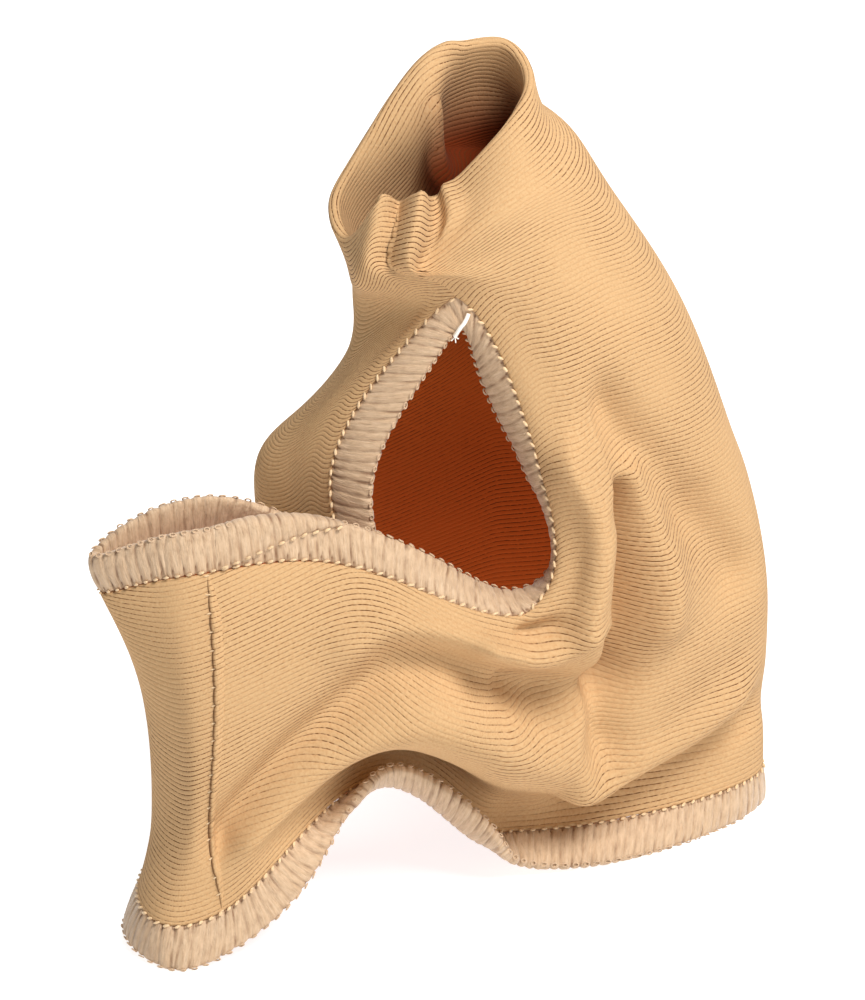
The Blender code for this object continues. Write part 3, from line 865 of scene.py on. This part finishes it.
class Wraps:
    """Where the crevices between the wraps of one band lie. Each is a little different from the next."""

    def __init__(self, net, seed):
        draw = np.random.default_rng(seed)
        self.net = net
        self.count = round(along_at(net, 0.5, 0)[1] / STITCH)
        self.pitch = along_at(net, 0.5, 0)[1] / self.count
        self.moved = draw.normal(0, 0.14, self.count)
        self.slant = draw.normal(WRAP_SLANT, 0.26, self.count)
        self.depth = draw.uniform(0.35, 1.0, self.count)
        self.width = draw.uniform(0.6, 1.5, self.count)
        self.breaks = draw.uniform(0.8, 2.4, self.count)
        self.phase = draw.uniform(0, 1, self.count)
        self.swell = draw.normal(1.0, 0.14, self.count)

    def relief(self, stitch, across):
        """How far the surface is raised, and how deep in a crevice it is, 0 to 1."""
        nearest = np.full(np.shape(stitch), np.inf)
        crevice = np.zeros(np.shape(stitch))
        for step in (-1, 0, 1, 2):
            which = np.floor(stitch).astype(int) + step
            own = which % self.count
            away = np.abs(stitch - which - self.moved[own] - self.slant[own] * (across - 0.5))
            broken = 0.62 + 0.38 * np.sin(2 * math.pi * (self.breaks[own] * across + self.phase[own]))
            middle = 1 - MATTED * np.exp(-((across - 0.52) / 0.2) ** 2)
            mark = self.depth[own] * broken * middle
            crevice = np.maximum(crevice, mark * np.exp(-((away / (CREVICE * self.width[own])) ** 2)))
            nearest = np.minimum(nearest, away)
        dome = 1 - (1 - np.clip(2 * nearest, 0, 1)) ** 3
        swell = self.swell[np.floor(stitch).astype(int) % self.count]
        flattened = 1 - 0.6 * MATTED * np.exp(-((across - 0.52) / 0.24) ** 2)
        return WRAP_RISE * ((dome * swell - 1) * flattened - 0.6 * crevice), crevice


def shaped_grid(name, columns, rows, shape):
    """A grid bent into the places that shape gives for its two shares, 0 to 1, with edges that meet welded."""
    bm = bmesh.new()
    bmesh.ops.create_grid(bm, x_segments=columns, y_segments=rows, size=0.5)
    mesh = bpy.data.meshes.new(name)
    bm.to_mesh(mesh)
    places, cloth, hollow = shape(*(coordinates(mesh)[:, :2] + 0.5).T)
    mesh.vertices.foreach_set("co", places.ravel())
    mesh.attributes.new("hollow", "FLOAT", "POINT").data.foreach_set("value", hollow.astype(np.float32))
    uvs = cloth[corners_of(mesh)].astype(np.float32)
    mesh.uv_layers.new(name="cloth").uv.foreach_set("vector", uvs.ravel())
    bm.clear()
    bm.from_mesh(mesh)
    bmesh.ops.remove_doubles(bm, verts=bm.verts, dist=2e-6)
    bmesh.ops.holes_fill(bm, edges=[edge for edge in bm.edges if edge.is_boundary], sides=0)
    bmesh.ops.recalc_face_normals(bm, faces=bm.faces)
    for face in bm.faces:
        face.smooth = True
    bm.to_mesh(mesh)
    bm.free()
    return mesh


def band_mesh(name, wraps, first=0.0, last=None, narrowing=None, raised=None):
    """A band from one stitch to another: a closed ring, or a piece of one that narrows and is raised."""
    last = wraps.count if last is None else last
    whole = narrowing is None

    def shape(share, around):
        stitch = first + share * (last - first)
        posts = along_at(wraps.net, 0.5, np.mod(stitch, wraps.count + 1e-9) * wraps.pitch)[0]
        narrow = 0.0 if whole else narrowing(share)
        lift = 0.0 if whole else raised(share)
        across = 0.5 - 0.5 * np.cos(2 * math.pi * around)
        across = narrow + (1 - narrow) * across
        rise, crevice = wraps.relief(stitch, across)
        to_pit = np.abs(np.mod(stitch - WRAP_SLANT * (across - 0.5), 1) - 0.02) / PIT_LENGTH
        pit = np.exp(-to_pit ** 2 - ((across - PIT_AT) / PIT_WIDTH) ** 2)
        # the needle's holes are sunk, and they get painted shade like the crevices
        crevice, rise = np.maximum(crevice, pit), rise - PIT_DEPTH * pit
        ends = np.clip(across / 0.05, 0, 1)
        places = on_band(wraps.net, posts, around, rise * (0.35 + 0.65 * ends) + lift, narrow)
        cloth = np.stack([stitch * wraps.pitch - across * wraps.pitch * WRAP_SLANT, across * BINDING_WIDTH], axis=-1)
        return places, cloth, crevice

    return shaped_grid(name, round((last - first) * STEPS_A_STITCH), STEPS_ROUND, shape)


hem_wraps = Wraps(nets["hem"], 11)
opening_wraps = Wraps(nets["toe_opening"], 12)
print("stitches:", hem_wraps.count, "round the hem,", opening_wraps.count, "round the toe opening")

# %% [markdown]
# ### The yarn
#
# Textured nylon yarn is many fine filaments side by side, with a soft silky light on them. Fine streaks
# along each wrap, as bump and as a slight change of colour, give the filaments. The crevices are darker,
# because little light reaches them, and the grid's "hollow" attribute says where they are.

# %% The yarn's material
def yarn_material(name, light, shade, deep):
    made, tree, shader = new_material(name)
    cloth = add(tree, "ShaderNodeUVMap", uv_map="cloth")
    streaks = add(tree, "ShaderNodeMapping")
    streaks.inputs["Scale"].default_value = (1.0, 0.06, 1.0)
    tree.links.new(cloth.outputs[0], streaks.inputs["Vector"])
    filaments = noise(tree, streaks.outputs[0], 5200.0, 2.0, 0.6)
    clumps = add(tree, "ShaderNodeMapping")
    clumps.inputs["Scale"].default_value = (1.0, 0.3, 1.0)
    tree.links.new(cloth.outputs[0], clumps.inputs["Vector"])
    tufts = noise(tree, clumps.outputs[0], 1900.0, 4.0, 0.65)
    shown = mix_colour(tree, filaments, light, shade)
    shown = mix_colour(tree, math_node(tree, "POWER", tufts, 2.2), shown, deep)
    pit = add(tree, "ShaderNodeAttribute", attribute_name="hollow")
    shown = mix_colour(tree, pit.outputs["Fac"], shown, deep)
    tree.links.new(shown, shader.inputs["Base Color"])
    fine = add(tree, "ShaderNodeBump", Distance=0.00010, Strength=1.0)
    tree.links.new(filaments, fine.inputs["Height"])
    fluffy = add(tree, "ShaderNodeBump", Distance=0.00024, Strength=1.0)
    tree.links.new(tufts, fluffy.inputs["Height"])
    tree.links.new(fine.outputs[0], fluffy.inputs["Normal"])
    tree.links.new(fluffy.outputs[0], shader.inputs["Normal"])
    shader.inputs["Roughness"].default_value = 0.6
    shader.inputs["Specular IOR Level"].default_value = 0.35
    shader.inputs["Sheen Weight"].default_value = 0.3
    shader.inputs["Sheen Roughness"].default_value = 0.4
    return made


yarn = yarn_material("overlock_yarn", colour(230, 204, 172), colour(200, 162, 122), colour(112, 70, 36))
hem_edge = piece("foot_opening_edge", band_mesh("foot_opening_edge", hem_wraps), yarn)
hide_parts("foot_opening_binding")
opening_edge = piece("toe_opening_edge", band_mesh("toe_opening_edge", opening_wraps), yarn)
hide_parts("toe_opening_binding")
for edge in (hem_edge, opening_edge):
    print(edge.name, len(edge.data.polygons), "faces")

# %% [markdown]
# ## The needle's stitches and the loops at the edge
#
# An overlock machine leaves two rows: small slanted stitches of the needle's thread along the inner border,
# and loops where the two looper threads meet round the raw edge. Each is one small shape with a few dozen
# faces, copied once for each stitch of the band, so its place and its slant follow the wraps.

# %% Stitches and loops
STITCH_SIZE = (0.00050, 0.00023, 0.00021)  # half the length, width and height of one stitch
STITCH_TURN = math.radians(30)
LOOP_RADIUS = 0.00034
LOOP_THREAD = 0.00011


def frames_on(wraps, around, lift, turn, size, seed, first=0, last=None, narrowed=None):
    """A frame for each stitch of a band. Its x axis runs along the edge and its z axis points out of the band."""
    draw = np.random.default_rng(seed)
    across = 0.5 - 0.5 * math.cos(2 * math.pi * around)
    last = wraps.count if last is None else last
    stitches = np.arange(first, last) + 0.5 + WRAP_SLANT * (across - 0.5)
    posts = along_at(wraps.net, 0.5, np.mod(stitches, wraps.count) * wraps.pitch)[0]
    missing = 0.0 if narrowed is None else narrowed((np.arange(first, last) + 0.5 - first) / (last - first))
    around = np.full(len(posts), around)
    places = on_band(wraps.net, posts, around, lift, missing)
    outwards = on_band(wraps.net, posts, around, lift + 1e-4, missing) - places
    forwards = np.gradient(places, axis=0)
    frames = []
    for place, forward, outward in zip(places, forwards, outwards):
        z_axis = Vector(outward).normalized()
        y_axis = z_axis.cross(Vector(forward)).normalized()
        frame = Matrix((y_axis.cross(z_axis), y_axis, z_axis)).transposed().to_4x4()
        frame.translation = place
        turned = Matrix.Rotation(turn + draw.normal(0, 0.12), 4, "Z") @ Matrix.Rotation(draw.normal(0, 0.15), 4, "X")
        frames.append(frame @ turned @ Matrix.Diagonal((*(side * draw.normal(1, 0.07) for side in size), 1)))
    return frames


def grain():
    """A rounded stitch, one unit in each half size."""
    bm = bmesh.new()
    bmesh.ops.create_uvsphere(bm, u_segments=8, v_segments=5, radius=1)
    bmesh.ops.rotate(bm, verts=bm.verts, cent=(0, 0, 0), matrix=Matrix.Rotation(math.pi / 2, 3, "Y"))
    made = bpy.data.meshes.new("grain")
    bm.to_mesh(made)
    bm.free()
    return made


def ring():
    """A loop of thread that lies flat."""
    bm = bmesh.new()
    circle = bmesh.ops.create_circle(bm, segments=5, radius=LOOP_THREAD)
    turned = Matrix.Translation((LOOP_RADIUS, 0, 0)) @ Matrix.Rotation(math.pi / 2, 4, "X")
    bmesh.ops.transform(bm, matrix=turned, verts=circle["verts"])
    bmesh.ops.spin(bm, geom=bm.edges[:], cent=(0, 0, 0), axis=(0, 0, 1), angle=math.tau, steps=8, use_merge=True)
    bmesh.ops.remove_doubles(bm, verts=bm.verts, dist=1e-6)
    bmesh.ops.recalc_face_normals(bm, faces=bm.faces)
    made = bpy.data.meshes.new("ring")
    bm.to_mesh(made)
    bm.free()
    return made


def repeated(name, shape, frames):
    """One mesh with a copy of the shape at each frame."""
    bm = bmesh.new()
    for frame in frames:
        known = len(bm.verts)
        bm.from_mesh(shape)
        bm.verts.ensure_lookup_table()
        bmesh.ops.transform(bm, matrix=frame, verts=bm.verts[known:])
    for face in bm.faces:
        face.smooth = True
    made = bpy.data.meshes.new(name)
    bm.to_mesh(made)
    bm.free()
    return made


def thread_material(name, light, shade):
    """A twisted thread reads the object's coordinates, because its stitches lie in every direction."""
    made, tree, shader = new_material(name)
    coords = add(tree, "ShaderNodeTexCoord")
    fibres = noise(tree, coords.outputs["Object"], 5000.0, 2.0)
    tree.links.new(mix_colour(tree, fibres, light, shade), shader.inputs["Base Color"])
    bump = add(tree, "ShaderNodeBump", Distance=0.00005, Strength=1.0)
    tree.links.new(fibres, bump.inputs["Height"])
    tree.links.new(bump.outputs[0], shader.inputs["Normal"])
    shader.inputs["Roughness"].default_value = 0.5
    shader.inputs["Specular IOR Level"].default_value = 0.4
    shader.inputs["Sheen Weight"].default_value = 0.2
    return made


thread = thread_material("needle_thread", colour(244, 220, 178), colour(196, 152, 104))
OVERLAP = (89, 100)  # stitches of the toe opening's band between which its end lies on top
OVERLAP_RISE = 0.0005


def overlap_narrowing(share):
    """The end of the band leaves the needle's side, little by little, until it has reached the edge."""
    return 0.02 + 0.86 * np.asarray(share) ** 1.6


def overlap_rise(share):
    return OVERLAP_RISE * np.clip(np.asarray(share) * 4, 0, 1)


overlap = piece("toe_opening_overlap", band_mesh(
    "toe_opening_overlap", opening_wraps, *OVERLAP, overlap_narrowing, overlap_rise,
), yarn)
crossing = frames_on(
    opening_wraps, 0.11, 0.00020 + OVERLAP_RISE, STITCH_TURN, STITCH_SIZE, 31, *OVERLAP, overlap_narrowing,
)
piece("toe_opening_overlap_stitches", repeated("toe_opening_overlap_stitches", grain(), crossing), thread)
for name, wraps, seed in (("foot_opening", hem_wraps, 21), ("toe_opening", opening_wraps, 23)):
    needle = frames_on(wraps, 0.075, 0.00020, STITCH_TURN, STITCH_SIZE, seed)
    stitches = piece(name + "_stitches", repeated(name + "_stitches", grain(), needle), thread)
    looped = frames_on(wraps, 0.455, 0.00006, 0.0, (1.15, 0.85, 1.0), seed + 1)
    loops = piece(name + "_loops", repeated(name + "_loops", ring(), looped), yarn)
    print(name, "has", len(needle), "stitches,", len(stitches.data.polygons) + len(loops.data.polygons), "faces")

# %% [markdown]
# ## The seams
#
# The band is closed by a seam at its left front, and the toe tube by one between its two lobes. Beside the
# seam the cloth swells between the stitches, like a row of small pillows, and along the seam itself lies a
# dark line of painted shade. Each seam is a low closed strip that lies along its station and sinks into the
# sleeve at its borders.

# %% Seams
SEAM_STITCH = 0.0025
SEAM_STEPS = 8  # faces from one stitch to the next
SEAM_ROUND = 20
SEAM_SHADE = 0.00032  # how wide the painted shade beside the seam is
SEAM_TAPER = 2.5  # how many stitches it takes to reach its full width


def seam_mesh(name, net, heights, station, sections, flat_width, width, swell):
    """A puckered strip beside a station. Flat_width is how many metres of cloth the next station lies away."""
    first, last = sections
    column = round(station * FINE)
    rows = np.arange(net.shape[1]) / FINE
    lengths = heights[column]
    start, end = np.interp((first, last), rows, lengths)
    count = round((end - start) / SEAM_STITCH)
    scale = rib_scales()[column]

    def shape(share, around):
        height = start + share * (end - start)
        lobe = np.abs(np.sin(math.pi * share * count)) ** 0.35
        taper = np.clip(np.minimum(share, 1 - share) * count / SEAM_TAPER, 0, 1) ** 0.5
        side = 0.5 - 0.5 * np.cos(2 * math.pi * around)
        out = (side * width - 0.00035 * lobe) * taper
        place, normal = read_net(net, station + out / flat_width, np.interp(height, lengths, rows))
        hump = swell * (0.35 + 0.65 * lobe) * np.sin(math.pi * np.clip(side, 0, 1) ** 0.6)
        rise = np.where(np.sin(2 * math.pi * around) > 0, hump - 0.00002, -0.00035)
        places = place + normal * (rise * taper - 0.0001 * (1 - taper))[:, None]
        across = np.interp(station, range(len(STATION_AT)), STATION_AT) / 100 * GIRTH
        cloth = np.stack([across + out, height * scale], axis=-1)
        # painted shade along the seam's gap, a little darker at the notches between the pillows
        hollow = np.exp(-((side * width / SEAM_SHADE) ** 2)) * (0.75 + 0.25 * (1 - lobe))
        return places, cloth, hollow

    return shaped_grid(name, count * SEAM_STEPS, SEAM_ROUND, shape)


side_seam = piece("side_seam", seam_mesh(
    "side_seam", nets["band"], band_heights, STATIONS.index("seam"), (0.02, 3.98), 0.0151, 0.0023, 0.0006,
), knit)
toe_seam = piece("toe_seam", seam_mesh(
    "toe_seam", nets["tube"], tube_heights - band_heights[: PINCH * FINE + 1, -1:], 0.0, (3.75, 5.9), 0.0047, 0.0012, 0.0004,
), knit)
SEAM_THREAD = (0.00042, 0.00012, 0.00010)  # half the length, width and height of one cross thread


def seam_frames(net, heights, station, sections, size):
    """A frame at each notch of a seam, with its x axis across the seam."""
    column = round(station * FINE)
    rows, lengths = np.arange(net.shape[1]) / FINE, heights[column]
    start, end = np.interp(sections, rows, lengths)
    count = round((end - start) / SEAM_STITCH)
    places, normals = read_net(net, station - 0.01, np.interp(np.linspace(start, end, count + 1), lengths, rows))
    onwards = read_net(net, station + 0.02, np.interp(np.linspace(start, end, count + 1), lengths, rows))[0]
    frames = []
    for place, normal, onward in zip(places, normals, onwards):
        z_axis = Vector(normal)
        y_axis = z_axis.cross(Vector(onward - place)).normalized()
        frame = Matrix((y_axis.cross(z_axis), y_axis, z_axis)).transposed().to_4x4()
        frame.translation = Vector(place) + z_axis * 0.00005
        frames.append(frame @ Matrix.Diagonal((*size, 1)))
    return frames


notches = seam_frames(nets["band"], band_heights, STATIONS.index("seam"), (0.02, 3.98), SEAM_THREAD)
piece("side_seam_stitches", repeated("side_seam_stitches", grain(), notches), thread)
for seam in (side_seam, toe_seam):
    print(seam.name, len(seam.data.polygons), "faces")

# %% [markdown]
# ## The loose end
#
# Where the overlock ends, at the top of the toe opening, a short white tail of thread was left standing. It
# is a tube along a bent way, and its tip frays into three thinner fibres.

# %% The tail
TAIL_RADIUS = 0.00028
TAIL_WAY = ((0.0, 0.0, 0.0), (-0.0004, -0.0006, -0.0010), (-0.0012, -0.0008, -0.0018), (-0.0018, -0.0006, -0.0031))
FRAYS = ((-0.0004, 0.0, -0.0005), (0.0001, -0.0003, -0.0006), (0.0004, 0.0001, -0.0003))


def tail_mesh(name, start):
    """A strand and its frayed fibres as curves with a round bevel, made a mesh."""
    curve = bpy.data.curves.new(name, "CURVE")
    curve.dimensions = "3D"
    curve.bevel_depth = TAIL_RADIUS
    curve.bevel_resolution = 2
    curve.use_fill_caps = True
    ways = [[start + Vector(step) for step in TAIL_WAY]]
    ways += [[ways[0][-1], ways[0][-1] + Vector(fray) * 0.6, ways[0][-1] + Vector(fray) * 1.2] for fray in FRAYS]
    for number, way in enumerate(ways):
        spline = curve.splines.new("NURBS")
        spline.points.add(len(way) - 1)
        spline.use_endpoint_u = True
        spline.order_u = 3
        for point_of, place_of in zip(spline.points, way):
            point_of.co = (*place_of, 1)
            point_of.radius = 1.0 if number == 0 else 0.3
    holder = bpy.data.objects.new(name, curve)
    bpy.context.scene.collection.objects.link(holder)
    made = bpy.data.meshes.new_from_object(holder.evaluated_get(bpy.context.evaluated_depsgraph_get()))
    bpy.data.objects.remove(holder, do_unlink=True)
    return made


crotch_post = POSTS.index(("pinch", "crotch"))
tail_start = Vector(on_band(nets["toe_opening"], np.array([crotch_post - 0.15]), np.array([0.13]), 0.0002)[0])
white = thread_material("tail_thread", colour(255, 252, 244), colour(236, 226, 208))
tail = piece("thread_tail", tail_mesh("thread_tail", tail_start), white)
print("tail:", len(tail.data.polygons), "faces")

# %% [markdown]
# ## The sheet of cloth
#
# The sleeve was cut from one flat piece of knit, as wide as its girth and as long as the way from the hem to
# the toe rim, with a corner missing where the toe opening is. Its flat area is worked out from the station and
# section tables: the part below the opening goes all the way round, and the toe tube takes only its share of the
# girth.

outer_area = sum(polygon.area for polygon in sleeve.data.polygons) / 2
print("one side of the sleeve's surface:", round(outer_area * 1e4, 1), "cm2")
flat_area = GIRTH * LENGTH * SECTION_AT["opening"] / 100
flat_area += GIRTH * STATION_AT[PINCH] / 100 * LENGTH * (100 - SECTION_AT["opening"]) / 100
print("cut from", round(GIRTH * LENGTH * 1e4, 1), "cm2; flat area", round(flat_area * 1e4, 1), "cm2")

# %% [markdown]
# ## The stage
#
# The photograph looks down on the sleeve by about 25 degrees, from far away, so a long lens is used. The
# camera aims at the middle of the picture: the pixel sizes below say which place on the object that is.

# %% Camera, floor and light
ELEVATION = math.radians(25)
PIXEL = 0.001 / 7.44  # metres for each pixel of the 865 by 1000 picture
FRONT_PIXEL = (434, 968)  # where the middle of the front edge meets the table
LENS = 400.0
SENSOR = 36.0

away = Vector((0, -math.cos(ELEVATION), math.sin(ELEVATION)))
upwards = Vector((0, math.sin(ELEVATION), math.cos(ELEVATION)))
front_edge = Vector((0, -DEPTH / 2, 0)) + Vector(shift)
aim = front_edge + Vector(((432.5 - FRONT_PIXEL[0]) * PIXEL, 0, 0)) + upwards * ((FRONT_PIXEL[1] - 500) * PIXEL)
camera = bpy.data.objects.new("camera", bpy.data.cameras.new("camera"))
bpy.context.scene.collection.objects.link(camera)
camera.data.lens = LENS
camera.data.sensor_width = SENSOR
camera.location = aim + away * (1000 * PIXEL * LENS / SENSOR)
camera.rotation_euler = (math.pi / 2 - ELEVATION, 0, 0)
camera.data.clip_end = 100
bpy.context.scene.camera = camera


def area_light(name, place, size, power, tint=(1.0, 1.0, 1.0)):
    made = bpy.data.objects.new(name, bpy.data.lights.new(name, "AREA"))
    bpy.context.scene.collection.objects.link(made)
    made.data.shape = "DISK"
    made.data.size = size
    made.data.energy = power
    made.data.color = tint
    made.location = place
    made.rotation_euler = (-Vector(place) + Vector((0, 0, 0.05))).to_track_quat("-Z", "Y").to_euler()
    return made


area_light("key", (0.36, -0.42, 0.86), 0.42, 11.6)
area_light("fill", (0.5, -0.8, 0.35), 0.7, 0.8)
area_light("back", (0.1, 0.7, 0.7), 0.6, 3.5)

world = bpy.data.worlds.new("studio")
world.use_nodes = True
world.node_tree.nodes["Background"].inputs["Color"].default_value = (1.0, 1.0, 1.0, 1.0)
world.node_tree.nodes["Background"].inputs["Strength"].default_value = 0.21
bpy.context.scene.world = world
bpy.context.scene.view_settings.view_transform = "Standard"

bm = bmesh.new()
bmesh.ops.create_grid(bm, x_segments=1, y_segments=1, size=3.0)
floor_mesh = bpy.data.meshes.new("floor")
bm.to_mesh(floor_mesh)
bm.free()
floor = bpy.data.objects.new("floor", floor_mesh)
bpy.context.scene.collection.objects.link(floor)
pale, tree, shader = new_material("pale_floor")
shader.inputs["Base Color"].default_value = (0.45, 0.45, 0.45, 1.0)
shader.inputs["Roughness"].default_value = 0.9
shader.inputs["Emission Color"].default_value = (1.0, 1.0, 1.0, 1.0)
shader.inputs["Emission Strength"].default_value = 0.85
floor_mesh.materials.append(pale)
print("camera at", [round(side, 3) for side in camera.location])
